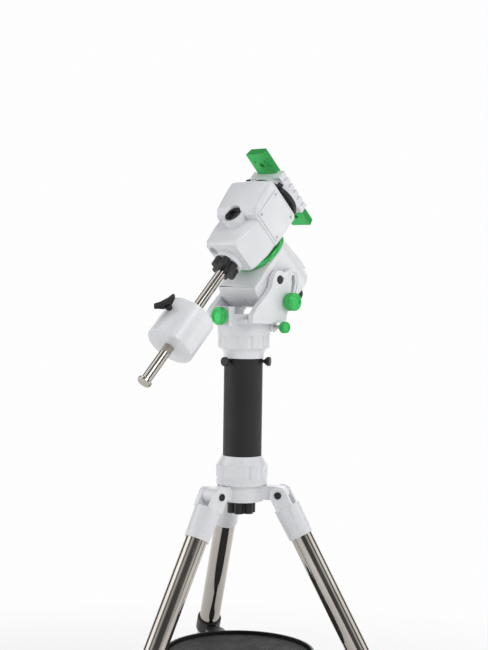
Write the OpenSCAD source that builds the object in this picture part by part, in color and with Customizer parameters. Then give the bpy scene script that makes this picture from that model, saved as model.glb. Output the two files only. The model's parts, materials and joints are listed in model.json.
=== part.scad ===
// Motorised star tracker mount on a pier tube and a three-leg steel tripod.
// Millimetres. +Z is up, the origin is at floor level under the middle of the
// outline, and the polar axis leans towards -Y.

/* [Tripod] */
// Height of the leg pivots above the floor
pivot_z = 640; // [600:5:680]
// Distance of the leg pivots from the azimuth axis
pivot_r = 70; // [68:1:74]
// Angle of each leg from the vertical
splay = 28; // [26:1:29]
// Outer diameter of the upper leg tubes
leg_od = 38.1; // [36:0.1:38.1]
// Outer diameter of the lower leg tubes
slider_od = 31.75; // [30:0.25:32]
// Height of the tray's upper face
tray_z = 352; // [345:1:360]

/* [Pier] */
// Height of the tripod head's upper face
head_z = 662; // [662:1:662]
// Outer radius of the pier tube
tube_r = 33.8; // [33:0.1:34]
// Radius of the grip collars at both ends of the pier
collar_r = 45; // [44:0.5:46]
// Height of the joint between the pier and the mount base
base_z = 915; // [915:1:915]

/* [Mount head] */
// Latitude that the polar axis is set to
latitude = 44; // [40:1:48]
// Outer radius of the polar drive body
ra_r = 49; // [48:0.5:49]
// Distance from the axes' crossing down to the polar drive's rear cover
ra_len = 128; // [126:1:130]
// Half the width of the mount between the fork arms
body_x = 44; // [43:0.5:44]

/* [Counterweight] */
// Radius of the counterweight shaft
shaft_r = 9; // [8.5:0.25:9]
// Radius of the counterweight
weight_r = 42.5; // [40:0.5:45]
// Length of the counterweight
weight_l = 74; // [70:1:76]

/* [Dovetail bar] */
// Length of the dovetail bar
bar_l = 172; // [160:1:180]
// Width of the dovetail bar at its wide face
bar_w = 44; // [43:0.5:44]
// Thickness of the dovetail bar
bar_t = 14; // [13:0.5:14]

/* [Hidden] */
leg_az = [-90, 30, 150];
leg_len = pivot_z / cos(splay);
head_y = 6.2;
head_h = 1088;
pivot_y = 28;
pivot_h = 1012;
pivot_ly = (pivot_y - head_y) * sin(latitude) + (pivot_h - head_h) * cos(latitude);
pivot_lz = -(pivot_y - head_y) * cos(latitude) + (pivot_h - head_h) * sin(latitude);
clamp_y = 48;
clamp_h = 974;
gap = 0.05;
wheel_r = 36;
wheel_teeth = 72;
axis_y = 103;
weight_y = -188;

white = "whitesmoke";
green = "limegreen";
black = [0.1, 0.1, 0.11];
steel = "silver";

// Every piece is drawn around the azimuth axis and then set in place.
module placed() {
  translate([0, axis_y, 0]) children();
}
// Frames: a leg's axis runs from its pivot along local +Z, and the head's
// local +Z is the polar axis with the declination axis along local +Y.
module leg_frame(i) {
  rotate([0, 0, leg_az[i]]) translate([pivot_r, 0, pivot_z]) rotate([0, 180 - splay, 0]) children();
}
module head_frame() {
  translate([0, head_y, head_h]) rotate([90 - latitude, 0, 0]) children();
}
module along_x(x, y, z, len, r) {
  translate([x, y, z]) rotate([0, 90, 0]) cylinder(h = len, r = r, $fn = 96);
}
module along_y(x, y, z, len, r) {
  translate([x, y, z]) rotate([-90, 0, 0]) cylinder(h = len, r = r, $fn = 96);
}
module tube(h, ro, ri) {
  difference() {
    cylinder(h = h, r = ro, $fn = 96);
    translate([0, 0, -1]) cylinder(h = h + 2, r = ri, $fn = 96);
  }
}
// A round knob with a dished face, its shank towards -Z.
module knob(r, h, shank_r, shank_l) {
  rotate_extrude($fn = 96) polygon([
    [0, -shank_l], [shank_r, -shank_l], [shank_r, 0], [r * 0.8, 0], [r, 2.5], [r, h - 1.5],
    [r - 1.5, h], [r * 0.72, h], [r * 0.68, h - 1.2], [0, h - 1.2]
  ]);
}
// A hand knob with lobes around its rim.
module lobed_knob(r, h, lobes, bore) {
  difference() {
    union() {
      cylinder(h = h, r = r * 0.72, $fn = 96);
      for (i = [0 : lobes - 1])
        rotate([0, 0, i * 360 / lobes]) translate([r * 0.68, 0, 0]) cylinder(h = h, r = r * 0.32, $fn = 48);
    }
    if (bore > 0) translate([0, 0, -1]) cylinder(h = h + 2, r = bore, $fn = 96);
  }
}
// A grip collar: a ring with shallow flutes cut in its rim.
module fluted_collar(h, r) {
  difference() {
    cylinder(h = h, r = r, $fn = 96);
    for (i = [0 : 11])
      rotate([0, 0, i * 30]) translate([r + 5.2, 0, -1]) cylinder(h = h + 2, r = 7, $fn = 48);
  }
}

/* Tripod */
module tripod_head() {
  color(white) difference() {
    union() {
      translate([0, 0, 626]) cylinder(h = 30, r = 38, $fn = 96);
      translate([0, 0, 655]) cylinder(h = head_z - 655, r = 44.5, $fn = 96);
      for (a = leg_az) rotate([0, 0, a]) {
        translate([30, -12, 630]) cube([pivot_r - 30, 24, 24]);
        translate([pivot_r, 12, pivot_z]) rotate([90, 0, 0]) cylinder(h = 24, r = 14, $fn = 64);
      }
    }
    translate([0, 0, 620]) cylinder(h = 60, r = 6.5, $fn = 64);
    for (a = leg_az) rotate([0, 0, a])
      translate([pivot_r, 20, pivot_z]) rotate([90, 0, 0]) cylinder(h = 40, r = 4.3, $fn = 64);
  }
}
module leg_heads() {
  color(white) for (i = [0 : 2]) leg_frame(i) difference() {
    union() {
      for (s = [-1, 1]) {
        translate([0, s * 17, 0]) rotate([90, 0, 0]) cylinder(h = 9, r = 15, center = true, $fn = 64);
        translate([-15, s * 17 - 4.5, 0]) cube([30, 9, 26]);
      }
      translate([0, 0, 24]) cylinder(h = 56, r1 = 23, r2 = 21.8, $fn = 96);
    }
    translate([0, 0, 32]) cylinder(h = 60, r = leg_od / 2 + gap, $fn = 96);
    translate([0, 30, 0]) rotate([90, 0, 0]) cylinder(h = 60, r = 4.3, $fn = 64);
    translate([-16, -12.4, -1]) cube([32, 24.8, 25]);
  }
}
module leg_bolts() {
  color(black) for (i = [0 : 2]) leg_frame(i) {
    rotate([90, 0, 0]) cylinder(h = 43.4, r = 4.2, center = true, $fn = 64);
    for (s = [-1, 1]) translate([0, s * 22.7, 0]) rotate([90, 0, 0]) difference() {
      cylinder(h = 2, r = 6.2, center = true, $fn = 64);
      translate([0, 0, s * -1]) cylinder(h = 2, r = 2.6, center = true, $fn = 6);
    }
  }
}
module upper_legs() {
  color(steel) for (i = [0 : 2]) leg_frame(i) translate([0, 0, 34]) tube(546, leg_od / 2, 17.4);
}
module leg_clamps() {
  color(white) for (i = [0 : 2]) leg_frame(i) difference() {
    union() {
      translate([0, 0, 556]) cylinder(h = 50, r = 23.5, $fn = 96);
      translate([-34, -8, 584]) cube([18, 16, 18]);
    }
    translate([0, 0, 550]) cylinder(h = 30.1, r = leg_od / 2 + gap, $fn = 96);
    translate([0, 0, 575]) cylinder(h = 40, r = slider_od / 2 + 0.1, $fn = 96);
    along_x(-40, 0, 593, 30, 3.1);
  }
}
module clamp_screw(i) {
  color(black) leg_frame(i) translate([-34.3, 0, 593]) rotate([0, -90, 0]) {
    translate([0, 0, -17.8]) cylinder(h = 18, r = 3, $fn = 48);
    lobed_knob(15, 12, 6, 0);
  }
}
module lower_leg(i) {
  color(steel) leg_frame(i) translate([0, 0, 205]) {
    tube(480, slider_od / 2, 14.2);
    tube(14, 17.2, 15);
  }
}
module foot(i) {
  color(black) difference() {
    leg_frame(i) difference() {
      union() {
        translate([0, 0, 676]) cylinder(h = 22, r = 18.5, $fn = 96);
        translate([0, 0, 698]) cylinder(h = leg_len - 698 + 20, r1 = 18.5, r2 = 15, $fn = 96);
      }
      translate([0, 0, 670]) cylinder(h = 15.1, r = slider_od / 2 + gap, $fn = 96);
    }
    translate([0, 0, -50]) cube([1200, 1200, 100], center = true);
  }
}
module tray_collars() {
  color(black) for (i = [0 : 2]) {
    leg_frame(i) translate([0, 0, 312]) difference() {
      union() {
        cylinder(h = 26, r = 22.5, $fn = 96);
        translate([14, -9, 4]) cube([16, 18, 18]);
      }
      translate([0, 0, -1]) cylinder(h = 28, r = leg_od / 2 + gap, $fn = 96);
    }
  }
}
module tray() {
  color(black) translate([0, 0, tray_z - 6]) difference() {
    union() {
      for (a = leg_az) rotate([0, 0, a]) {
        translate([60, -17, 0]) cube([116, 34, 6]);
        translate([176, 0, 0]) cylinder(h = 6, r = 17, $fn = 64);
      }
      cylinder(h = 6, r = 132, $fn = 128);
      translate([0, 0, 6]) tube(8, 132, 128);
      translate([0, 0, -14]) cylinder(h = 14, r = 24, $fn = 96);
    }
    for (i = [0 : 5]) rotate([0, 0, i * 60]) translate([88, 0, -1]) cylinder(h = 8, r = 16, $fn = 64);
  }
}

/* Pier */
module pier_bolt() {
  color(black) {
    translate([0, 0, 604]) lobed_knob(25, 18, 6, 0);
    translate([0, 0, 618]) cylinder(h = 60, r = 5.9, $fn = 64);
  }
}
module pier_lower_flange() {
  color(white) difference() {
    union() {
      translate([0, 0, head_z]) cylinder(h = 6, r = 43.5, $fn = 96);
      translate([0, 0, head_z + 6]) fluted_collar(22, collar_r);
      translate([0, 0, head_z + 28]) cylinder(h = 15, r1 = collar_r - 1.5, r2 = 35, $fn = 96);
    }
    translate([0, 0, head_z - 1]) cylinder(h = 20, r = 6, $fn = 64);
    translate([0, 0, head_z + 18]) cylinder(h = 40, r = tube_r + gap, $fn = 96);
  }
}
module pier_tube() {
  color(black) translate([0, 0, head_z + 18.2]) difference() {
    tube(base_z - head_z - 36.4, tube_r, tube_r - 3);
    for (a = leg_az) rotate([0, 0, a]) along_x(20, 0, 870 - head_z - 18.2, 30, 3.1);
  }
}
module pier_upper_flange() {
  color(white) difference() {
    union() {
      translate([0, 0, base_z - 22]) fluted_collar(22, collar_r);
      translate([0, 0, base_z - 40]) rotate_extrude($fn = 96) polygon(concat(
        [[0, 0], [34.9, 0]],
        [for (t = [0 : 10 : 90]) [collar_r - 1.5 - 8.6 * cos(t), 2 + 16 * sin(t)]],
        [[0, 18]]
      ));
      cylinder_sleeve();
    }
    translate([0, 0, base_z - 30]) cylinder(h = 40, r = 6.3, $fn = 64);
    difference() {
      translate([0, 0, base_z - 41]) cylinder(h = 23, r = tube_r + gap, $fn = 96);
      cylinder_sleeve();
    }
    for (a = leg_az) rotate([0, 0, a]) along_x(20, 0, 870, 30, 3.1);
  }
}
// The flange's inner sleeve, which the thumb screws bear on inside the tube.
module cylinder_sleeve() {
  translate([0, 0, base_z - 62]) tube(50, tube_r - 3.2, 22);
}
module pier_screw(i) {
  color(black) rotate([0, 0, leg_az[i]]) translate([38, 0, 870]) rotate([0, 90, 0]) {
    translate([0, 0, -12]) cylinder(h = 13, r = 3, $fn = 48);
    cylinder(h = 5, r1 = 4, r2 = 8, $fn = 64);
    translate([0, 0, 5]) cylinder(h = 5, r = 8, $fn = 64);
  }
}
module mount_bolt() {
  color(black) translate([0, 0, base_z - 34]) {
    cylinder(h = 48, r = 5.9, $fn = 64);
    translate([0, 0, -12]) lobed_knob(18, 13, 6, 0);
  }
}

/* Fork */
module arm_outline() {
  polygon([
    [-38, 938], [-37, 952], [-26, 966], [-4, 985], [8, 999], [12.5, 1016], [43, 1006],
    [47, 990], [60, 980], [60, 966], [48, 955], [44, 938]
  ]);
  translate([pivot_y, pivot_h]) circle(r = 16, $fn = 96);
  translate([clamp_y, clamp_h]) circle(r = 13, $fn = 96);
}
module mount_base() {
  color(white) difference() {
    union() {
      translate([0, 0, base_z]) cylinder(h = 27, r = 46, $fn = 128);
      intersection() {
        translate([0, 0, base_z + 21]) cylinder(h = 8, r = 58, $fn = 128);
        translate([-58, -40, base_z]) cube([116, 90, 60]);
      }
      for (s = [-1, 1]) translate([s * 52.5, 0, 0]) rotate([90, 0, 90])
        linear_extrude(11, center = true) arm_outline();
      translate([-15, -52, base_z + 16]) cube([30, 14, 34]);
      for (s = [-1, 1]) along_x(s * 34 - 10, 30, 930, 20, 9);
    }
    translate([0, 0, base_z - 1]) cylinder(h = 16, r = 6.3, $fn = 64);
    translate([0, 0, base_z + 12]) cylinder(h = 60, r = 34, $fn = 96);
    translate([-44, 60, pivot_h - 68]) cube([88, 20, 40]);
    along_x(-70, pivot_y, pivot_h, 140, 8.1);
    along_x(-70, clamp_y, clamp_h, 140, 4.2);
    along_y(0, -60, 949, 30, 4.2);
    along_x(-60, 30, 930, 120, 3.2);
  }
}
module azimuth_screw(s) {
  color(green) translate([s * 62, 30, 930]) rotate([0, s * 90, 0]) knob(10, 12, 3, 0.01);
  color(steel) translate([s * 44, 30, 930]) rotate([0, s * 90, 0]) translate([0, 0, -16])
    cylinder(h = 34, r = 3.1, $fn = 64);
}
module altitude_screw() {
  color(green) translate([0, -54, 949]) rotate([90, 0, 0]) knob(15.5, 12, 4.1, 18);
}
module altitude_caps() {
  color(black) for (s = [-1, 1]) translate([s * 52.5, pivot_y, pivot_h]) rotate([0, s * 90, 0]) {
    translate([0, 0, -9.5]) cylinder(h = 15, r = 8, $fn = 64);
    translate([0, 0, 5.5]) cylinder(h = 2.5, r1 = 8, r2 = 6, $fn = 64);
  }
}
module altitude_clamp(s) {
  color(green) translate([s * 60.3, clamp_y, clamp_h]) rotate([0, s * 90, 0]) knob(15.8, 17, 4.1, 13.6);
}

/* Polar drive */
module pivot_drum(r, half) {
  translate([0, pivot_ly, pivot_lz]) rotate([0, 90, 0]) cylinder(h = 2 * half, r = r, center = true, $fn = 128);
}
module drive_core(d) {
  translate([0, 0, -ra_len + d]) cylinder(h = ra_len - 40 - 2 * d, r = ra_r - d, $fn = 128);
  pivot_drum(50 - d, body_x - d);
  hull() {
    translate([0, pivot_ly, pivot_lz]) rotate([0, 90, 0])
      cylinder(h = 2 * (body_x - 2 - d), r = 48.5 - d, center = true, $fn = 64);
    translate([0, 0, -53]) cube([80 - 2 * d, 60, 14 - d], center = true);
    translate([0, 8, -108]) cube([72 - 2 * d, 60, 20], center = true);
  }
}
module polar_body() {
  color(white) head_frame() {
    difference() {
      union() {
        drive_core(0);
        translate([0, 0, -45]) cylinder(h = 5.8, r1 = ra_r, r2 = 48, $fn = 128);
      }
      drive_core(5);
      translate([0, 0, -ra_len - 1]) cylinder(h = 12, r = 40, $fn = 96);
      translate([0, 0, -60]) cylinder(h = 40, r = 26, $fn = 96);
      translate([-80, -120, -39.3]) cube([160, 220, 40]);
      difference() {
        translate([-80, -120, -44]) cube([160, 220, 20]);
        translate([0, 0, -60]) cylinder(h = 60, r = ra_r, $fn = 128);
      }
      for (s = [-1, 1]) {
        translate([s * 46, pivot_ly, pivot_lz]) rotate([0, s * -90, 0]) cylinder(h = 20, r = 8.1, $fn = 64);
        clamp_groove(s);
      }
    }
    translate([0, 0, -60]) tube(16, 30, 26);
  }
}
// The curved groove that the altitude clamp's tip runs in.
module clamp_groove(s) {
  translate([s * 44, pivot_ly, pivot_lz]) rotate([latitude - 90, 0, 0]) rotate([0, 90, 0])
    rotate([0, 0, 5]) rotate_extrude(angle = 110, $fn = 96)
      translate([43, 0]) square([11, 6], center = true);
}
module polar_rear_cover() {
  color(white) head_frame() translate([0, 0, -ra_len - 5]) difference() {
    union() {
      rotate_extrude($fn = 96) polygon([[0, 0], [44, 0], [ra_r, 4], [ra_r, 4.9], [0, 4.9]]);
      translate([0, 0, 4]) cylinder(h = 6, r = 39.8, $fn = 96);
      translate([0, 0, 9]) tube(17, 30, 26);
    }
    translate([0, 0, -1]) cylinder(h = 20, r = 18.1, $fn = 96);
  }
}
module polar_scope() {
  color(black) head_frame() {
    translate([0, 0, -150]) cylinder(h = 112, r = 11.5, $fn = 96);
    translate([0, 0, -137.8]) cylinder(h = 20, r = 18, $fn = 96);
    difference() {
      translate([0, 0, -162]) rotate_extrude($fn = 96) polygon([
        [0, 0], [20, 0], [24, 3], [26, 12], [26, 20], [22, 28.5], [0, 28.5]
      ]);
      translate([0, 0, -163]) cylinder(h = 10, r = 14, $fn = 96);
    }
  }
}
module polar_bearings() {
  color(steel) head_frame() for (z = [-58, -116]) translate([0, 0, z]) tube(9, 25.9, 19.1);
}
module polar_shaft() {
  color(steel) head_frame() {
    translate([0, 0, -117]) tube(81.1, 19, 14);
    translate([0, 0, -36]) tube(5.9, 40, 14);
  }
}
// Tooth outline of a worm wheel with tips at radius r.
module wheel(r, teeth, h, bore) {
  difference() {
    linear_extrude(h) polygon([
      for (i = [0 : teeth - 1], k = [0 : 3])
        let (a = (i + [0.0, 0.25, 0.45, 0.8][k]) * 360 / teeth, q = [r, r, r - 1.6, r - 1.6][k])
          [q * cos(a), q * sin(a)]
    ]);
    translate([0, 0, -1]) cylinder(h = h + 2, r = bore, $fn = 96);
  }
}
module polar_wheel() {
  color("goldenrod") head_frame() translate([0, 0, -84]) wheel(wheel_r, wheel_teeth, 8, 19.05);
}
// A worm along local X: a shaft with a row of thread ridges.
module worm(half, r) {
  along_x(-half, 0, 0, 2 * half, r * 0.5);
  for (k = [-4 : 4]) translate([k * 3.14, 0, 0]) rotate([0, 90, 0])
    cylinder(h = 1.5, r = r, center = true, $fn = 48);
}
module polar_worm() {
  color(steel) head_frame() translate([0, -wheel_r - 6, -80]) worm(24, 5.5);
}
module motor(r, half) {
  along_x(-half, 0, 0, 2 * half, r);
  along_x(half, 0, 0, 8, 2);
}
module polar_motor() {
  color(black) head_frame() translate([0, pivot_ly - 26, pivot_lz]) motor(13, 18);
}
module polar_clutch_ring() {
  color(green) head_frame() translate([0, 0, -38.9]) difference() {
    rotate_extrude($fn = 128) polygon([
      [40.5, 0], [48.5, 0], [50.5, 2], [50.5, 5], [49, 7.6], [40.5, 7.6]
    ]);
    for (a = [0 : 45 : 315]) rotate([0, 0, a + 12]) translate([53.2, 0, -1]) cylinder(h = 10, r = 5, $fn = 48);
  }
}

/* Declination drive */
module dec_block(d) {
  hull() {
    translate([0, 8, 0]) rotate([-90, 0, 0]) linear_extrude(56) dec_profile(50 - d, 60 - d, 30 - d);
    translate([0, 62, 0]) rotate([-90, 0, 0]) linear_extrude(13 - d) dec_profile(46 - d, 54 - d, 28 - d);
  }
  hull() {
    translate([0, -18, 0]) rotate([-90, 0, 0]) linear_extrude(30) dec_profile(46 - d, 44 - d, 29.2 - d);
    translate([0, -62 + d, 0]) rotate([-90, 0, 0]) linear_extrude(12) dec_profile(38 - d, 34 - d, 26 - d);
  }
}
// Rounded outline across the declination axis: half width, top and bottom reach.
module dec_profile(w, up, down) {
  hull() {
    for (s = [-1, 1]) {
      translate([s * (w - 16), -(up - 16)]) circle(r = 16, $fn = 48);
      translate([s * (w - 8), down - 8]) circle(r = 8, $fn = 32);
    }
  }
}
module dec_housing() {
  color(white) head_frame() difference() {
    union() {
      dec_block(0);
      along_y(0, -70, 0, 10, 24);
      translate([0, 0, 30]) cylinder(h = 33, r = 22, $fn = 96);
    }
    along_y(0, -58, 0, 118, 25);
    along_y(0, 59, 0, 20, 24.1);
    along_y(0, -75, 0, 30, shaft_r + gap);
    translate([0, 0, -40]) cylinder(h = 20, r = 22, $fn = 96);
    translate([0, 0, 10]) cylinder(h = 60, r = 13.1, $fn = 96);
    translate([-36, -40, -22]) cube([72, 94, 40]);
    translate([-36, 12, 0]) cube([72, 42, 38]);
    along_y(-24, -63, 20, 3, 6);
    translate([47.5, 6, -22]) cube([10, 62, 66]);
  }
}
module dec_side_cover() {
  color(white) head_frame() intersection() {
    translate([47.7, 6.3, -21.7]) cube([10, 61.4, 65.4]);
    rotate([-90, 0, 0]) linear_extrude(80) dec_profile(51, 60, 30);
  }
}
module polar_window() {
  color(black) head_frame() translate([0, 0, 46]) cylinder(h = 15, r = 13, $fn = 96);
}
module housing_screws() {
  color("dimgray") head_frame() {
    for (p = [[12, 38], [61, 38], [61, -16], [12, -16]]) along_x(50.2, p[0], p[1], 1.6, 2.4);
    for (p = [[30, -40], [-30, -40], [32, -14], [-32, -14]])
      translate([p[0], p[1], 30]) cylinder(h = 9 + p[1] * -0.02, r = 2.4, $fn = 32);
  }
}
module dec_bearings() {
  color(steel) head_frame() for (y = [-40, 62]) translate([0, y, 0]) rotate([-90, 0, 0]) tube(9, 24, 14.1);
}
module dec_shaft() {
  color(steel) head_frame() {
    difference() {
      along_y(0, -40, 0, 130, 14);
      translate([0, 0, -20]) cylinder(h = 40, r = 8, $fn = 64);
    }
    along_y(0, 76, 0, 7, 40);
  }
}
module dec_wheel() {
  color("goldenrod") head_frame() translate([0, 24, 0]) rotate([-90, 0, 0]) wheel(24, 48, 8, 14.05);
}
module dec_worm() {
  color(steel) head_frame() translate([0, 28, 28.5]) worm(17, 4);
}
module dec_motor() {
  color(black) head_frame() translate([26, -8, -10]) rotate([0, 0, 90]) motor(9, 18);
}
module dec_clutch_ring() {
  color(black) head_frame() difference() {
    union() {
      along_y(0, 83.2, 0, 8, 47);
      rotate([0, 50, 0]) translate([-5, 83.2, 42]) cube([10, 8, 14]);
    }
    along_y(0, 80, 0, 20, 40.3);
  }
}
module dovetail_outline(w, t) {
  polygon([[-w / 2, 0], [w / 2, 0], [w / 2 - 4, t], [-w / 2 + 4, t]]);
}
module saddle() {
  color(white) head_frame() difference() {
    union() {
      along_y(0, 91.6, 0, 9, 45);
      translate([-36, 100, -42]) cube([72, 18, 84]);
    }
    along_y(0, 80, 0, 10.1, 14.1);
    translate([0, 112, 0]) linear_extrude(100, center = true) polygon([
      [-26, -0.2], [22.2, -0.2], [20.6, 7], [-24, 7]
    ]);
    for (z = [-24, 24]) along_x(-50, 108, z, 30, 4.2);
    for (z = [-30 : 15 : 30]) translate([33, 106, z - 3]) cube([6, 14, 6]);
  }
}
module saddle_knob(z) {
  color(black) head_frame() translate([-44, 108, z]) rotate([0, -90, 0]) {
    translate([0, 0, -18]) cylinder(h = 18, r = 4, $fn = 48);
    lobed_knob(9, 12, 6, 0);
  }
}
module dovetail_bar() {
  color(green) head_frame() difference() {
    translate([0, 112, 2]) linear_extrude(bar_l, center = true) dovetail_outline(bar_w, bar_t);
    for (z = [-62, 62]) {
      along_y(0, 100, z, 40, 4.8);
      for (x = [-11, 11]) along_y(x, 100, z + 8, 40, 1.7);
    }
  }
}

/* Counterweight */
module shaft_lock() {
  color(black) head_frame() translate([0, -71, 0]) rotate([90, 0, 0]) lobed_knob(23.5, 16, 6, shaft_r + gap);
}
module counterweight_shaft() {
  color(steel) head_frame() {
    along_y(0, -334, 0, 284, shaft_r);
    translate([0, -334, 0]) rotate([90, 0, 0]) rotate_extrude($fn = 96)
      polygon([[0, 0], [10, 0], [12.5, 2], [12.5, 6.5], [11, 8], [0, 8]]);
  }
}
module counterweight() {
  color(white) head_frame() difference() {
    translate([0, weight_y, 0]) rotate([90, 0, 0]) rotate_extrude($fn = 128) polygon([
      [shaft_r + 0.1, 0], [weight_r - 2, 0], [weight_r, 2], [weight_r, weight_l - 2],
      [weight_r - 2, weight_l], [shaft_r + 0.1, weight_l]
    ]);
    translate([0, weight_y - 28, shaft_r - 1]) cylinder(h = weight_r, r = 4.1, $fn = 64);
  }
}
// The wing screw that clamps the counterweight to its shaft.
module weight_screw() {
  color(black) head_frame() translate([0, weight_y - 28, 0]) {
    translate([0, 0, shaft_r + 0.4]) cylinder(h = weight_r, r = 4, $fn = 64);
    translate([0, 0, weight_r + 2]) cylinder(h = 9, r1 = 5.5, r2 = 8, $fn = 64);
    rotate([0, 0, 40]) translate([0, 0, weight_r + 8]) rotate([90, 0, 0])
      linear_extrude(9, center = true) wing_outline();
  }
}
module wing_outline() {
  polygon([[-8, 0], [8, 0], [17, 7], [17, 13], [8, 11], [-8, 11], [-17, 13], [-17, 7]]);
  for (x = [-17, 17]) translate([x, 10]) circle(r = 3, $fn = 48);
}

placed() tripod_head();
placed() leg_heads();
placed() leg_bolts();
placed() upper_legs();
placed() leg_clamps();
placed() clamp_screw(0);  // clamp_screw_north
placed() clamp_screw(1);  // clamp_screw_east
placed() clamp_screw(2);  // clamp_screw_west
placed() lower_leg(0);  // lower_leg_north
placed() lower_leg(1);  // lower_leg_east
placed() lower_leg(2);  // lower_leg_west
placed() foot(0);  // foot_north
placed() foot(1);  // foot_east
placed() foot(2);  // foot_west
placed() tray_collars();
placed() tray();
placed() pier_bolt();
placed() pier_lower_flange();
placed() pier_tube();
placed() pier_upper_flange();
placed() pier_screw(0);  // pier_screw_north
placed() pier_screw(1);  // pier_screw_east
placed() pier_screw(2);  // pier_screw_west
placed() mount_bolt();
placed() mount_base();
placed() azimuth_screw(1);  // azimuth_screw_east
placed() azimuth_screw(-1);  // azimuth_screw_west
placed() altitude_screw();
placed() altitude_caps();
placed() altitude_clamp(1);  // altitude_clamp_east
placed() altitude_clamp(-1);  // altitude_clamp_west
placed() polar_body();
placed() polar_rear_cover();
placed() polar_scope();
placed() polar_bearings();
placed() polar_shaft();
placed() polar_wheel();
placed() polar_worm();
placed() polar_motor();
placed() polar_clutch_ring();
placed() dec_housing();
placed() dec_side_cover();
placed() polar_window();
placed() housing_screws();
placed() dec_bearings();
placed() dec_shaft();
placed() dec_wheel();
placed() dec_worm();
placed() dec_motor();
placed() dec_clutch_ring();
placed() saddle();
placed() saddle_knob(24);  // saddle_knob_upper
placed() saddle_knob(-24);  // saddle_knob_lower
placed() dovetail_bar();
placed() shaft_lock();
placed() counterweight_shaft();
placed() counterweight();
placed() weight_screw();
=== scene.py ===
import json
import math

import bmesh
import bpy
from mathutils import Matrix, Vector
from mathutils.geometry import intersect_line_line


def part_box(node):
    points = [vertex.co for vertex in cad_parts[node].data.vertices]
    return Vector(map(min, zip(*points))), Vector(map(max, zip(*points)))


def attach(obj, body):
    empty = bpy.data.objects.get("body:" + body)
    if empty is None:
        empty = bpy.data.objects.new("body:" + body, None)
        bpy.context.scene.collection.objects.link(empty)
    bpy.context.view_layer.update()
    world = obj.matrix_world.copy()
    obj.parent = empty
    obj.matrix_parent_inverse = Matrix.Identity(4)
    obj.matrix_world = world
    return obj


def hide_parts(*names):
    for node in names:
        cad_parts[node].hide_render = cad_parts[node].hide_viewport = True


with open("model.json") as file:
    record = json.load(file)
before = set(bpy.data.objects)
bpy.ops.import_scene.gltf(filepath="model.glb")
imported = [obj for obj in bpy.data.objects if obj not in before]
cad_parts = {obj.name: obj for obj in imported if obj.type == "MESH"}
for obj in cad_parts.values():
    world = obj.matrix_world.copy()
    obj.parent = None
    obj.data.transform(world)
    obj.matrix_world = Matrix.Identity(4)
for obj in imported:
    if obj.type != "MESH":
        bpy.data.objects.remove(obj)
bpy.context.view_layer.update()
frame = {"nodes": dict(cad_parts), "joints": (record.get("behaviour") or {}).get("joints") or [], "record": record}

NODES = frame["nodes"]
BODY_OF = {n: b for b, names in frame["record"]["behaviour"]["bodies"].items() for n in names}
JOINTS = {j["name"]: j for j in frame["joints"]}
SLOTS = {s["node"]: s["material_slot"] for s in frame["record"]["subparts"]}

# ---------------------------------------------------------------- camera

IMAGE_H = 650
FOCAL_PX = 1390.0
SENSOR_H = 24.0
CAM_AZIMUTH = math.radians(44.5)
CAM_DISTANCE = 2.419
CAM_HEIGHT = 1.036
CAM_PITCH = math.radians(2.46)
CAM_ROLL = math.radians(0.83)


def pier_axis():
    low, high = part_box("pier_tube")
    return Vector(((low.x + high.x) / 2, (low.y + high.y) / 2, 0))


def add_camera():
    data = bpy.data.cameras.new("camera")
    data.sensor_fit = "VERTICAL"
    data.sensor_height = SENSOR_H
    data.lens = FOCAL_PX / IMAGE_H * SENSOR_H
    data.clip_end = 50
    cam = bpy.data.objects.new("camera", data)
    bpy.context.scene.collection.objects.link(cam)
    towards = Vector((math.sin(CAM_AZIMUTH), -math.cos(CAM_AZIMUTH), 0))
    cam.location = pier_axis() + towards * CAM_DISTANCE + Vector((0, 0, CAM_HEIGHT))
    turn = Matrix.Rotation(CAM_AZIMUTH, 4, "Z") @ Matrix.Rotation(math.radians(90) - CAM_PITCH, 4, "X")
    cam.rotation_euler = (turn @ Matrix.Rotation(CAM_ROLL, 4, "Z")).to_euler()
    bpy.context.scene.camera = cam


# ---------------------------------------------------------------- studio

# The point that every light faces.
LIT_SPOT = Vector((0, 0.1, 0.8))


def add_area_light(name, place, size, watts):
    data = bpy.data.lights.new(name, "AREA")
    data.size = size
    data.energy = watts
    lamp = bpy.data.objects.new(name, data)
    bpy.context.scene.collection.objects.link(lamp)
    lamp.location = place
    aim = LIT_SPOT - Vector(place)
    lamp.rotation_euler = aim.to_track_quat("-Z", "Y").to_euler()


# The backdrop's brightness, which the floor fades to between these two distances from the origin.
BACKDROP = 0.985
FLOOR_FADE = (0.75, 1.9)
FLOOR_HALF = 12

# Brightness of the room by how far a direction points towards the camera: 0 is away from it, 1 towards it.
ROOM_SCREENS = [
    (0.0, 1.1), (0.10, 1.0), (0.15, 0.08), (0.30, 0.06), (0.35, 1.3), (0.60, 1.4), (0.64, 0.16), (0.74, 0.12),
    (0.80, 0.75), (0.87, 0.55), (0.91, 0.10), (1.0, 0.08),
]


def add_lights():
    add_area_light("key", (2.6, -0.6, 2.6), 1.4, 26)
    add_area_light("fill", (-1.9, -2.4, 1.6), 2.0, 6)
    add_area_light("back", (-1.2, 2.2, 2.4), 1.6, 16)


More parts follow.
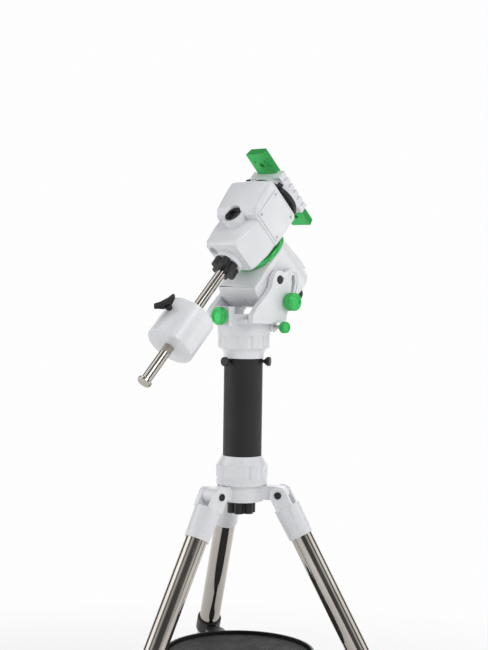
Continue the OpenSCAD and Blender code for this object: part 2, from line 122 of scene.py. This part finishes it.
def add_room():
    """A white room to look at. Its reflections show white side screens with dark gaps between them."""
    world = bpy.data.worlds.new("studio")
    world.use_nodes = True
    tree = world.node_tree
    way = tree.nodes.new("ShaderNodeTexCoord")
    facing_camera = tree.nodes.new("ShaderNodeVectorMath")
    facing_camera.operation = "DOT_PRODUCT"
    facing_camera.inputs[1].default_value = (math.sin(CAM_AZIMUTH), -math.cos(CAM_AZIMUTH), 0)
    tree.links.new(way.outputs["Generated"], facing_camera.inputs[0])
    screens = tree.nodes.new("ShaderNodeValToRGB")
    ramp = screens.color_ramp
    for place, _ in ROOM_SCREENS[1:-1]:
        ramp.elements.new(place)
    for element, (place, level) in zip(ramp.elements, ROOM_SCREENS):
        element.position = place
        element.color = (level, level, level, 1)
    tree.links.new(map_range(tree, facing_camera.outputs["Value"], 0, 1, -1, 1), screens.inputs["Fac"])
    rays = tree.nodes.new("ShaderNodeLightPath")
    seen = tree.nodes.new("ShaderNodeMix")
    seen.data_type = "RGBA"
    tree.links.new(rays.outputs["Is Camera Ray"], seen.inputs["Factor"])
    tree.links.new(screens.outputs["Color"], seen.inputs[6])
    seen.inputs[7].default_value = (BACKDROP, BACKDROP, BACKDROP, 1)
    tree.links.new(seen.outputs[2], tree.nodes["Background"].inputs["Color"])
    bpy.context.scene.world = world
    bpy.context.scene.view_settings.view_transform = "Standard"


def add_floor():
    mesh = bpy.data.meshes.new("floor")
    corners = [(x * FLOOR_HALF, y * FLOOR_HALF, 0) for x, y in ((-1, -1), (1, -1), (1, 1), (-1, 1))]
    mesh.from_pydata(corners, [], [(0, 1, 2, 3)])
    floor = bpy.data.objects.new("floor", mesh)
    bpy.context.scene.collection.objects.link(floor)
    mesh.materials.append(floor_paper())


def floor_paper():
    """Matt white paper that turns as bright as the backdrop further out, so that no horizon shows."""
    mat = plain_material("floor_paper", (0.90, 0.90, 0.90), 0.9)
    tree = mat.node_tree
    place = tree.nodes.new("ShaderNodeTexCoord")
    length = tree.nodes.new("ShaderNodeVectorMath")
    length.operation = "LENGTH"
    tree.links.new(place.outputs["Object"], length.inputs[0])
    glow = add_node(tree, "ShaderNodeEmission", Strength=BACKDROP)
    mix = tree.nodes.new("ShaderNodeMixShader")
    tree.links.new(map_range(tree, length.outputs["Value"], 0, 1, *FLOOR_FADE), mix.inputs[0])
    tree.links.new(tree.nodes["Principled BSDF"].outputs[0], mix.inputs[1])
    tree.links.new(glow.outputs[0], mix.inputs[2])
    tree.links.new(mix.outputs[0], tree.nodes["Material Output"].inputs["Surface"])
    return mat


# ---------------------------------------------------------------- materials

def plain_material(name, colour, roughness, metallic=0.0):
    mat = bpy.data.materials.new(name)
    mat.use_nodes = True
    shader = mat.node_tree.nodes["Principled BSDF"]
    shader.inputs["Base Color"].default_value = (*colour, 1)
    shader.inputs["Roughness"].default_value = roughness
    shader.inputs["Metallic"].default_value = metallic
    return mat


def add_node(tree, kind, **values):
    node = tree.nodes.new(kind)
    for key, value in values.items():
        node.inputs[key.replace("_", " ")].default_value = value
    return node


def noise(tree, scale, detail=3.0, stretch=(1, 1, 1)):
    place = tree.nodes.new("ShaderNodeTexCoord")
    mapping = add_node(tree, "ShaderNodeMapping", Scale=stretch)
    tree.links.new(place.outputs["Object"], mapping.inputs["Vector"])
    node = add_node(tree, "ShaderNodeTexNoise", Scale=scale, Detail=detail)
    tree.links.new(mapping.outputs["Vector"], node.inputs["Vector"])
    return node.outputs["Fac"]


def map_range(tree, source, low, high, start=0.3, end=0.7):
    """The source's range from start to end, stretched to run from low to high."""
    node = tree.nodes.new("ShaderNodeMapRange")
    for socket, value in zip(list(node.inputs)[1:5], (start, end, low, high)):
        socket.default_value = value
    tree.links.new(source, node.inputs["Value"])
    return node.outputs["Result"]


def surface(name, dark, light, rough, metallic=0.0, grain=400.0, bump=0.1, depth=0.0002,
            patch=9.0, stretch=(1, 1, 1), coat=0.0):
    """A finish with soft colour patches, roughness that varies and a fine grain in relief."""
    mat = plain_material(name, light, rough[0], metallic)
    tree = mat.node_tree
    shader = tree.nodes["Principled BSDF"]
    shader.inputs["Coat Weight"].default_value = coat
    shader.inputs["Coat Roughness"].default_value = 0.12
    ramp = tree.nodes.new("ShaderNodeValToRGB")
    ramp.color_ramp.elements[0].position = 0.35
    ramp.color_ramp.elements[0].color = (*dark, 1)
    ramp.color_ramp.elements[1].position = 0.65
    ramp.color_ramp.elements[1].color = (*light, 1)
    tree.links.new(noise(tree, patch), ramp.inputs["Fac"])
    tree.links.new(ramp.outputs["Color"], shader.inputs["Base Color"])
    tree.links.new(map_range(tree, noise(tree, patch * 5, 5, stretch), *rough), shader.inputs["Roughness"])
    relief = add_node(tree, "ShaderNodeBump", Strength=bump, Distance=depth)
    tree.links.new(noise(tree, grain, 2, stretch), relief.inputs["Height"])
    tree.links.new(relief.outputs["Normal"], shader.inputs["Normal"])
    return mat


def make_materials():
    return {
        "white_paint": surface("white_paint", (0.76, 0.77, 0.80), (0.84, 0.85, 0.87), (0.26, 0.36),
                               grain=900, bump=0.12, coat=0.35),
        "green_anodised": surface("green_anodised", (0.035, 0.46, 0.09), (0.055, 0.56, 0.13), (0.26, 0.33),
                                  metallic=0.55, grain=2500, bump=0.05),
        "polished_steel": surface("polished_steel", (0.44, 0.41, 0.37), (0.54, 0.51, 0.47), (0.08, 0.14),
                                  metallic=1.0, grain=700, bump=0.05, stretch=(1, 1, 0.08)),
        "bearing_steel": surface("bearing_steel", (0.42, 0.42, 0.43), (0.55, 0.55, 0.56), (0.2, 0.35),
                                 metallic=1.0, grain=900, bump=0.1),
        "wheel_brass": surface("wheel_brass", (0.62, 0.43, 0.15), (0.75, 0.56, 0.24), (0.2, 0.35),
                               metallic=1.0, grain=900, bump=0.1),
        "foot_rubber": surface("foot_rubber", (0.012, 0.012, 0.012), (0.03, 0.03, 0.03), (0.6, 0.8),
                               grain=500, bump=0.3),
        "black_steel": surface("black_steel", (0.012, 0.012, 0.013), (0.03, 0.03, 0.032), (0.25, 0.4),
                               metallic=0.6, grain=900, bump=0.1),
        "black_tube": surface("black_tube", (0.004, 0.004, 0.005), (0.007, 0.007, 0.008), (0.44, 0.54),
                              grain=1600, bump=0.35),
        "gloss_black": surface("gloss_black", (0.006, 0.006, 0.007), (0.012, 0.012, 0.014), (0.08, 0.14),
                               grain=300, bump=0.02, coat=0.6),
        "black_plastic": surface("black_plastic", (0.004, 0.004, 0.005), (0.009, 0.009, 0.010), (0.34, 0.5),
                                 grain=1100, bump=0.25),
    }


def paint_nodes(materials):
    for name, obj in NODES.items():
        obj.data.materials.clear()
        finish = "black_steel" if name == "leg_bolts" else SLOTS[name]
        obj.data.materials.append(materials[finish])


# ---------------------------------------------------------------- building blocks

MM = 0.001
SIDES = (("east", 1), ("west", -1))


def axis_line(name):
    joint = JOINTS[name]
    start = Vector(joint["pos_m"])
    return start, start + Vector(joint["axis"])


def head_place():
    """The mount head's frame: +Z up the polar axis, +Y out along the declination axis, 0 where they cross."""
    polar, dec = axis_line("polar_turn"), axis_line("dec_turn")
    cross = intersect_line_line(*polar, *dec)[0]
    up, out = (polar[1] - polar[0]).normalized(), (dec[1] - dec[0]).normalized()
    turn = Matrix((out.cross(up), out, up)).transposed().to_4x4()
    return Matrix.Translation(cross) @ turn


def facing(spot, direction):
    """A frame at spot, a point, with its +Z along direction."""
    return Matrix.Translation(spot) @ Vector(direction).to_track_quat("Z", "Y").to_matrix().to_4x4()


def add_piece(name, bm, place, body, material, slot, stands_for=(), smooth=35):
    mesh = bpy.data.meshes.new(name)
    bmesh.ops.recalc_face_normals(bm, faces=bm.faces)
    bm.to_mesh(mesh)
    bm.free()
    mesh.transform(place)
    mesh.materials.append(material)
    obj = bpy.data.objects.new(name, mesh)
    bpy.context.scene.collection.objects.link(obj)
    mesh.shade_smooth()
    mesh.set_sharp_from_angle(angle=math.radians(smooth))
    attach(obj, body)
    if stands_for:
        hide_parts(*stands_for)
    return obj


def lathe(rows, segments=96):
    """A closed turned solid. A row is (radius, height) in mm; a radius may be a function of the angle."""
    bm = bmesh.new()
    rings = []
    for radius, height in rows:
        if radius == 0:
            rings.append([bm.verts.new((0, 0, height * MM))])
            continue
        ring = []
        for i in range(segments):
            a = i * math.tau / segments
            r = (radius(a) if callable(radius) else radius) * MM
            ring.append(bm.verts.new((r * math.cos(a), r * math.sin(a), height * MM)))
        rings.append(ring)
    for low, high in zip(rings, rings[1:]):
        for i in range(segments):
            j = (i + 1) % segments
            corners = [low[i % len(low)], low[j % len(low)], high[j % len(high)], high[i % len(high)]]
            unique = list(dict.fromkeys(corners))
            if len(unique) > 2:
                bm.faces.new(unique)
    return bm


def knurl(radius, count, depth):
    """The radius at an angle, on a rim with so many ridges."""
    return lambda a: radius - depth * (0.5 + 0.5 * math.cos(count * a))


def hexagon(flat):
    """The radius at an angle, on a hexagon whose flats are this far from its centre."""
    return lambda a: flat / math.cos((a + math.pi / 6) % (math.pi / 3) - math.pi / 6)


# The ridges round a knob's rim, and how deep they are in millimetres.
RIDGES = 48
RIDGE_DEPTH = 0.55


def knob_rows(r, h, shank_r, shank_l):
    """A knob with a knurled rim and a dished face with a raised ring round it."""
    side = knurl(r, RIDGES, RIDGE_DEPTH)
    return [
        (0, -shank_l), (shank_r, -shank_l), (shank_r, 0), (r * 0.74, 0), (r * 0.82, 0.3), (r - 0.7, 2.4),
        (r - 0.1, 3.2), (side, 3.7), (side, h - 3.0), (r - 0.1, h - 2.5), (r - 0.15, h - 1.5),
        (r - 0.6, h - 0.6), (r - 1.5, h - 0.1), (r - 2.1, h), (r * 0.76, h), (r * 0.72, h - 0.3),
        (r * 0.69, h - 1.1), (r * 0.66, h - 1.35), (r * 0.3, h - 1.25), (0, h - 1.2),
    ]


def socket_screw_rows(r, h):
    """A cap screw's head with a hexagon socket."""
    socket = hexagon(r * 0.5)
    return [
        (0, 0), (r * 0.96, 0), (r, h * 0.15), (r, h - 0.4), (r - 0.35, h), (r * 0.64, h),
        (socket, h - 0.1), (socket, h * 0.35), (0, h * 0.3),
    ]


def taken_from(curve):
    """The curve's shape as a mesh; the curve itself is removed."""
    holder = bpy.data.objects.new(curve.name, curve)
    mesh = bpy.data.meshes.new_from_object(holder)
    bm = bmesh.new()
    bm.from_mesh(mesh)
    bpy.data.objects.remove(holder)
    bpy.data.curves.remove(curve)
    bpy.data.meshes.remove(mesh)
    return bm


def plate(loops, depth, edge):
    """A flat plate in local XY, centred on Z = 0: the first loop is its outline and the others are holes."""
    curve = bpy.data.curves.new("outline", "CURVE")
    curve.dimensions = "2D"
    curve.fill_mode = "BOTH"
    curve.extrude = (depth / 2 - edge) * MM
    curve.bevel_depth = edge * MM
    curve.bevel_resolution = 2
    curve.offset = -edge * MM
    for points in loops:
        spline = curve.splines.new("POLY")
        spline.points.add(len(points) - 1)
        for point, (x, y) in zip(spline.points, points):
            point.co = (x * MM, y * MM, 0, 1)
        spline.use_cyclic_u = True
    bm = taken_from(curve)
    bmesh.ops.remove_doubles(bm, verts=bm.verts, dist=1e-6)
    return bm


def smooth_loop(points, rounds=3):
    """Chaikin's corner cutting on a closed loop."""
    for _ in range(rounds):
        cut = []
        for (ax, ay), (bx, by) in zip(points, points[1:] + points[:1]):
            cut.append((ax * 0.75 + bx * 0.25, ay * 0.75 + by * 0.25))
            cut.append((ax * 0.25 + bx * 0.75, ay * 0.25 + by * 0.75))
        points = cut
    return points


def tube_along(points, r, rounds=3):
    """A rounded bead along a smooth open line of points, in metres."""
    for _ in range(rounds):
        cut = [points[0]]
        for a, b in zip(points, points[1:]):
            cut += [a.lerp(b, 0.25), a.lerp(b, 0.75)]
        points = cut + [points[-1]]
    curve = bpy.data.curves.new("bead", "CURVE")
    curve.dimensions = "3D"
    curve.bevel_depth = r * MM
    curve.bevel_resolution = 3
    curve.use_fill_caps = True
    spline = curve.splines.new("POLY")
    spline.points.add(len(points) - 1)
    for point, place in zip(spline.points, points):
        point.co = (*place, 1)
    return taken_from(curve)


def node_centre(name):
    low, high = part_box(name)
    return (low + high) / 2


def add_bevel(obj, width, angle=30, segments=3):
    bevel = obj.modifiers.new("bevel", "BEVEL")
    bevel.width = width * MM
    bevel.segments = segments
    bevel.limit_method = "ANGLE"
    bevel.angle_limit = math.radians(angle)
    bevel.miter_outer = "MITER_ARC"
    obj.modifiers.new("normals", "WEIGHTED_NORMAL").keep_sharp = False


def rounded(node, width):
    """The CAD node's own shape with its sharp edges rounded, standing for the node."""
    source = NODES[node]
    bm = bmesh.new()
    bm.from_mesh(source.data)
    bmesh.ops.remove_doubles(bm, verts=bm.verts, dist=2e-6)
    bmesh.ops.dissolve_limit(bm, angle_limit=math.radians(1), verts=bm.verts, edges=bm.edges)
    obj = add_piece(node + "_rounded", bm, Matrix.Identity(4), BODY_OF[node], source.data.materials[0],
                    SLOTS[node], (node,))
    add_bevel(obj, width, segments=2)


# ---------------------------------------------------------------- pieces

def piece_of(node, name, bm, place, stands=True, material=None, **more):
    """A piece that rides and is finished as the node is."""
    return add_piece(name, bm, place, BODY_OF[node], material or MATERIALS[SLOTS[node]], SLOTS[node],
                     (node,) if stands else (), **more)


# Knobs in millimetres: radius, height, and the radius and length of the shank.
AZIMUTH_KNOB = (10, 12, 4, 1)
ALTITUDE_CLAMP_KNOB = (15.8, 17, 4.1, 13.6)
ALTITUDE_KNOB = (15.5, 12, 4.1, 18)
KNOB_SEGMENTS = 192
# The azimuth screws' threaded rods: radius, and the ends behind the knob's base.
ROD_R = 3.1
ROD_END = -33.5
ROD_START = -1
ROD_PITCH = 1.0


def add_side_knob(node, name, sign, size):
    """A knob whose face is the node's end to the east, sign 1, or to the west, -1. Returns its place."""
    low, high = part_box(node)
    centre = (low + high) / 2
    face = high.x if sign > 0 else low.x
    place = facing((face - sign * size[1] * MM, centre.y, centre.z), (sign, 0, 0))
    piece_of(node, name, lathe(knob_rows(*size), KNOB_SEGMENTS), place)
    return place


def add_knobs():
    for side, sign in SIDES:
        screw = "azimuth_screw_" + side
        place = add_side_knob(screw, "azimuth_knob_" + side, sign, AZIMUTH_KNOB)
        rod = lathe(thread_rows(ROD_R, ROD_END, ROD_START, ROD_PITCH), 48)
        piece_of(screw, "azimuth_thread_" + side, rod, place, stands=False,
                 material=MATERIALS["bearing_steel"])
        add_side_knob("altitude_clamp_" + side, "altitude_clamp_knob_" + side, sign, ALTITUDE_CLAMP_KNOB)
    low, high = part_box("altitude_screw")
    centre = (low + high) / 2
    place = facing((centre.x, low.y + ALTITUDE_KNOB[1] * MM, centre.z), (0, -1, 0))
    piece_of("altitude_screw", "altitude_knob", lathe(knob_rows(*ALTITUDE_KNOB), KNOB_SEGMENTS), place)


def thread_rows(r, start, end, pitch):
    root = r * 0.86
    rows = [(0, start)]
    for i in range(int((end - start) / pitch)):
        rows += [(r, start + i * pitch + 0.15 * pitch), (root, start + i * pitch + 0.6 * pitch)]
    return rows + [(root, end), (0, end)]


# The cap screws on the declination housing's cover: the cover's face, and their places along Y and Z.
COVER_FACE = 50.1
SCREW_SPOTS = [(12, 38), (61, 38), (61, -16), (12, -16)]
SCREW_R = 2.6
SCREW_H = 1.6


def add_screws():
    """Cap screws with hexagon sockets in place of the plain heads on the declination housing."""
    bm = bmesh.new()
    for y, z in SCREW_SPOTS:
        place = facing((COVER_FACE * MM, y * MM, z * MM), (1, 0, 0))
        add_into(bm, lathe(socket_screw_rows(SCREW_R, SCREW_H), 36), place)
    piece_of("housing_screws", "housing_cap_screws", bm, HEAD)


def add_into(bm, part, place):
    part.transform(place)
    mesh = bpy.data.meshes.new("part")
    part.to_mesh(mesh)
    part.free()
    bm.from_mesh(mesh)
    bpy.data.meshes.remove(mesh)


def arc(cx, cy, r, start, end, steps):
    """Points on an arc round (cx, cy), from one angle to another in degrees."""
    return [(cx + r * math.cos(math.radians(start + (end - start) * i / steps)),
             cy + r * math.sin(math.radians(start + (end - start) * i / steps))) for i in range(steps + 1)]


# The fork arms' lobes in millimetres: their middle plane's distance from the pier's axis, their thickness and
# the rounding of their edges. Then the bead along the rim, its line's distance from that axis and its radius.
LOBE_X = 54.1
LOBE_T = 8.6
LOBE_EDGE = 1.2
BEAD_X = 58.0
BEAD_R = 1.9


def add_fork_slots():
    """The fork arms' outer lobes, each with a hooked slot that the altitude clamp's bolt passes through."""
    pivot, clamp = node_centre("altitude_caps"), node_centre("altitude_clamp_east")
    py, pz, cy, cz = pivot.y / MM, pivot.z / MM, clamp.y / MM, clamp.z / MM
    lobe = [
        (py - 4, pz + 13), (py + 14, pz + 12), (py + 26, pz + 19), (py + 38, pz + 19), (py + 47, pz + 12),
        (py + 49, pz - 4), (py + 45, pz - 24), (cy + 17, cz - 4), (cy + 6, cz - 14), (cy - 12, cz - 12),
        (cy - 16, cz + 6), (py - 2, pz - 14), (py - 12, pz - 2),
    ]
    slot = [
        (py + 30, pz + 8), (py + 36, pz + 9), (py + 39, pz + 3), (py + 38, pz - 8), (py + 34, pz - 22),
        (py + 31, pz - 26), (py + 28, pz - 22), (py + 31, pz - 8), (py + 30, pz),
    ]
    rim = [
        (py + 8, pz + 2), (py + 20, pz + 5), (py + 28, pz + 14), (py + 37, pz + 14), (py + 44, pz + 8),
        (py + 44.5, pz - 6), (py + 40, pz - 24), (py + 35, pz - 32),
    ]
    upright = Matrix(((0, 0, 1), (1, 0, 0), (0, 1, 0))).to_4x4()
    for side, sign in SIDES:
        place = Matrix.Translation((sign * LOBE_X * MM, 0, 0)) @ upright
        shape = plate([smooth_loop(lobe), smooth_loop(slot, 2)], LOBE_T, LOBE_EDGE)
        add_piece("fork_lobe_" + side, shape, place, "mount_base", MATERIALS["white_paint"], "white_paint")
        line = [Vector((sign * BEAD_X, y, z)) * MM for y, z in rim]
        add_piece("fork_bead_" + side, tube_along(line, BEAD_R), Matrix.Identity(4), "mount_base",
                  MATERIALS["white_paint"], "white_paint")


# The tray's mat in millimetres: how far below the tray's rim it lies, its radius, the height of its sheet and
# of its ribs, and the ribs' outermost radius and spacing.
MAT_DEPTH = 8
MAT_R = 127
MAT_SHEET = 1.4
MAT_RIB = 1.9
RIB_OUTER_R = 120
RIB_INNER_R = 12
RIB_STEP = 6


def add_tray_mat():
    """The thin ribbed mat that lies in the tray."""
    low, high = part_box("tray")
    centre = pier_axis()
    rows = [(0, 0), (MAT_R - 0.5, 0), (MAT_R, 0.4), (MAT_R, 1.0), (MAT_R - 1, MAT_SHEET)]
    for r in range(RIB_OUTER_R, RIB_INNER_R, -RIB_STEP):
        rows += [(r + 1.2, MAT_SHEET), (r + 0.8, MAT_RIB), (r - 0.8, MAT_RIB), (r - 1.2, MAT_SHEET)]
    rows.append((0, MAT_SHEET))
    place = Matrix.Translation((centre.x, centre.y, high.z - MAT_DEPTH * MM))
    piece_of("tray", "tray_mat", lathe(rows, 128), place, stands=False, material=MATERIALS["foot_rubber"])


def add_window():
    """The polar scope's upper window: a dark glass behind a stepped ring."""
    ring = [(0, 44.2), (15, 44.2), (15, 52.6), (14.6, 53.2), (13.2, 53.2), (12.8, 52.6), (12.4, 50),
            (11.6, 49.6)]
    glass = [(11.4, 47), (7, 48.2), (0, 48.8)]
    piece_of("polar_window", "polar_window_ring", lathe(ring + glass), HEAD, material=MATERIALS["gloss_black"])


def hull_of(points):
    bm = bmesh.new()
    for spot in points:
        bm.verts.new(Vector(spot) * MM)
    made = bmesh.ops.convex_hull(bm, input=bm.verts)
    bmesh.ops.delete(bm, geom=[v for v in bm.verts if not v.link_faces], context="VERTS")
    bmesh.ops.dissolve_limit(bm, angle_limit=math.radians(1.5), verts=bm.verts, edges=bm.edges)
    return bm


# The rounding of the declination casting's two lower edges, in millimetres.
LOWER_CORNER = 6


def slab(y, half, top, bottom, corner, bowed=0.0):
    """Points of a rounded outline across the declination axis, at a place along it. Its top may bow up."""
    points = []
    for cx, cz, r, start in (
            (half - corner, top - corner, corner, 0), (-half + corner, top - corner, corner, 90),
            (-half + LOWER_CORNER, bottom + LOWER_CORNER, LOWER_CORNER, 180),
            (half - LOWER_CORNER, bottom + LOWER_CORNER, LOWER_CORNER, 270)):
        points += [(x, y, z) for x, z in arc(cx, cz, r, start, start + 90, 6)]
    if bowed:
        points += [(x, y, top + bowed * (1 - (x / half) ** 2)) for x in range(-30, 31, 10)]
    return points


def boolean(obj, tool, operation):
    mod = obj.modifiers.new(operation.lower(), "BOOLEAN")
    mod.operation = operation
    mod.object = tool
    mod.solver = "EXACT"


def applied(obj, *tools):
    """The object's mesh with its modifiers in it; the tools they used are removed."""
    bpy.context.view_layer.update()
    shape = obj.evaluated_get(bpy.context.evaluated_depsgraph_get())
    mesh = bpy.data.meshes.new_from_object(shape)
    bm = bmesh.new()
    bm.from_mesh(mesh)
    for used in (obj, *tools):
        bpy.data.objects.remove(used)
    bpy.data.meshes.remove(mesh)
    return bm


def loose(bm):
    mesh = bpy.data.meshes.new("loose")
    bmesh.ops.recalc_face_normals(bm, faces=bm.faces)
    bm.to_mesh(mesh)
    bm.free()
    obj = bpy.data.objects.new("loose", mesh)
    bpy.context.scene.collection.objects.link(obj)
    return obj


# Outlines of the declination casting across its axis: place along the axis, half width, top, bottom, upper
# corner radius, and bow of the top. The block is over the polar axis, and the nose narrows to the shaft.
BLOCK = [
    (2, 48.3, 47, -29.6, 9), (12, 49.3, 55, -29.6, 8, 1.5), (45, 49.3, 60, -29.6, 8, 2.5),
    (68, 48.8, 62, -29.6, 8, 2.0), (75.5, 46, 58, -27, 8),
]
NOSE = [(30, 47.5, 36, -29.4, 7), (-20, 46, 38, -29.4, 7), (-52, 39, 39.5, -27, 7), (-60, 36, 36, -25, 7)]
# The round brow over the polar scope's window, and the window's conical socket.
BROW_R = 21
BROW_TOP = 51
BROW_BOTTOM = 20
SOCKET = [(0, 44), (15.3, 44), (15.3, 53), (17.5, 70), (0, 70)]
# The collar where the counterweight shaft comes out, and the round recess beside it.
COLLAR = [(0, 50), (25, 50), (25, 68), (23, 70), (0, 70)]
RECESS = [(0, -8), (8.2, -8), (8.2, 8), (0, 8)]
RECESS_PLACE = (-25 * MM, -62 * MM, 22 * MM)
CASTING_EDGE = 1.8


def hull_through(outlines):
    return hull_of([point for outline in outlines for point in slab(*outline)])


def add_dec_housing():
    """The declination casting: a hooded block over the polar axis and a nose that narrows to the shaft."""
    solid, nose = loose(hull_through(BLOCK)), loose(hull_through(NOSE))
    ring = arc(0, -1, BROW_R, 0, 360, 40)
    brow = loose(hull_of([(x, y, z) for x, y in ring for z in (BROW_BOTTOM, BROW_TOP)]))
    socket = loose(lathe(SOCKET, 64))
    collar = loose(lathe(COLLAR, 64))
    collar.data.transform(Matrix.Rotation(math.radians(90), 4, "X"))
    recess = loose(lathe(RECESS, 48))
    recess.data.transform(Matrix.Translation(RECESS_PLACE) @ Matrix.Rotation(math.radians(90), 4, "X"))
    for tool in (nose, brow, collar):
        boolean(solid, tool, "UNION")
    for tool in (socket, recess):
        boolean(solid, tool, "DIFFERENCE")
    bm = applied(solid, nose, brow, collar, socket, recess)
    bmesh.ops.remove_doubles(bm, verts=bm.verts, dist=1e-5)
    bmesh.ops.dissolve_limit(bm, angle_limit=math.radians(1), verts=bm.verts, edges=bm.edges)
    add_bevel(piece_of("dec_housing", "dec_casting", bm, HEAD, smooth=40), CASTING_EDGE)


# The polar neck in the head's frame: its two round outlines, and the corners of its east half.
NECK_ROUNDS = [(48.2, -39.7), (48.8, -47)]
NECK_CORNERS = [
    (38, -79, -43.2), (43.7, -79, -44.6), (43.7, -84.3, -46), (40, -85.4, -47.5), (43.7, -86.8, -54),
    (43.7, -20, -58),
]
NECK_EDGE = 1.5


def add_polar_neck():
    """The closed front of the polar drive, between the clutch ring and the pivot drum."""
    points = [(x, y, z) for r, z in NECK_ROUNDS for x, y in arc(0, 0, r, 0, 360, 72)]
    points += [(sign * x, y, z) for _, sign in reversed(SIDES) for x, y, z in NECK_CORNERS]
    neck = add_piece("polar_neck", hull_of(points), HEAD, "polar_drive", MATERIALS["white_paint"],
                     "white_paint")
    add_bevel(neck, NECK_EDGE, 20)


# The base's raised front wall in millimetres: its foot and top above the base's underside, its outer and inner
# radius, and the arc that it runs round in degrees.
RIM_FOOT = 24
RIM_TOP = 38
RIM_OUTER_R = 45.8
RIM_INNER_R = 41.8
RIM_ARC = (-185, 5)
RIM_STEPS = 72


def add_base_rim():
    """The raised front wall of the mount base, under the pivot drum."""
    low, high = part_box("mount_base")
    centre = pier_axis()
    foot, top = low.z / MM + RIM_FOOT, low.z / MM + RIM_TOP
    section = [
        (RIM_OUTER_R, foot), (RIM_OUTER_R, top - 1.6), (RIM_OUTER_R - 0.6, top - 0.4),
        ((RIM_OUTER_R + RIM_INNER_R) / 2, top), (RIM_INNER_R + 0.6, top - 0.4), (RIM_INNER_R, top - 1.6),
        (RIM_INNER_R, foot),
    ]
    bm = bmesh.new()
    rings = []
    for i in range(RIM_STEPS + 1):
        a = math.radians(RIM_ARC[0] + (RIM_ARC[1] - RIM_ARC[0]) * i / RIM_STEPS)
        rings.append([bm.verts.new((r * MM * math.cos(a), r * MM * math.sin(a), z * MM)) for r, z in section])
    for one, two in zip(rings, rings[1:]):
        for k in range(len(section)):
            n = (k + 1) % len(section)
            bm.faces.new((one[k], one[n], two[n], two[k]))
    bm.faces.new(rings[0])
    bm.faces.new(rings[-1])
    add_piece("base_rim", bm, Matrix.Translation((centre.x, centre.y, 0)), "mount_base",
              MATERIALS["white_paint"], "white_paint")


# The radius, in millimetres, that each of these nodes' sharp edges gets.
ROUNDED = {
    "dec_side_cover": 0.8, "polar_body": 1.2, "mount_base": 1.4, "saddle": 0.8,
    "dovetail_bar": 0.7, "tripod_head": 1.2, "leg_heads": 1.2, "leg_clamps": 1.0, "pier_upper_flange": 0.8,
    "pier_lower_flange": 0.8, "polar_rear_cover": 0.8, "counterweight": 0.8, "shaft_lock": 1.6,
    "clamp_screw_north": 1.4, "clamp_screw_east": 1.4, "clamp_screw_west": 1.4, "saddle_knob_upper": 1.0,
    "saddle_knob_lower": 1.0, "weight_screw": 1.0, "mount_bolt": 1.2, "pier_bolt": 1.4,
    "dec_clutch_ring": 0.8, "tray": 0.8, "tray_collars": 0.8, "polar_clutch_ring": 0.5,
    "altitude_caps": 0.5, "leg_bolts": 0.4, "counterweight_shaft": 0.5, "polar_scope": 0.6,
}

add_camera()
add_lights()
add_room()
add_floor()
MATERIALS = make_materials()
paint_nodes(MATERIALS)
HEAD = head_place()
for node_name, edge_width in ROUNDED.items():
    rounded(node_name, edge_width)
add_dec_housing()
add_polar_neck()
add_base_rim()
add_knobs()
add_screws()
add_fork_slots()
add_window()
add_tray_mat()
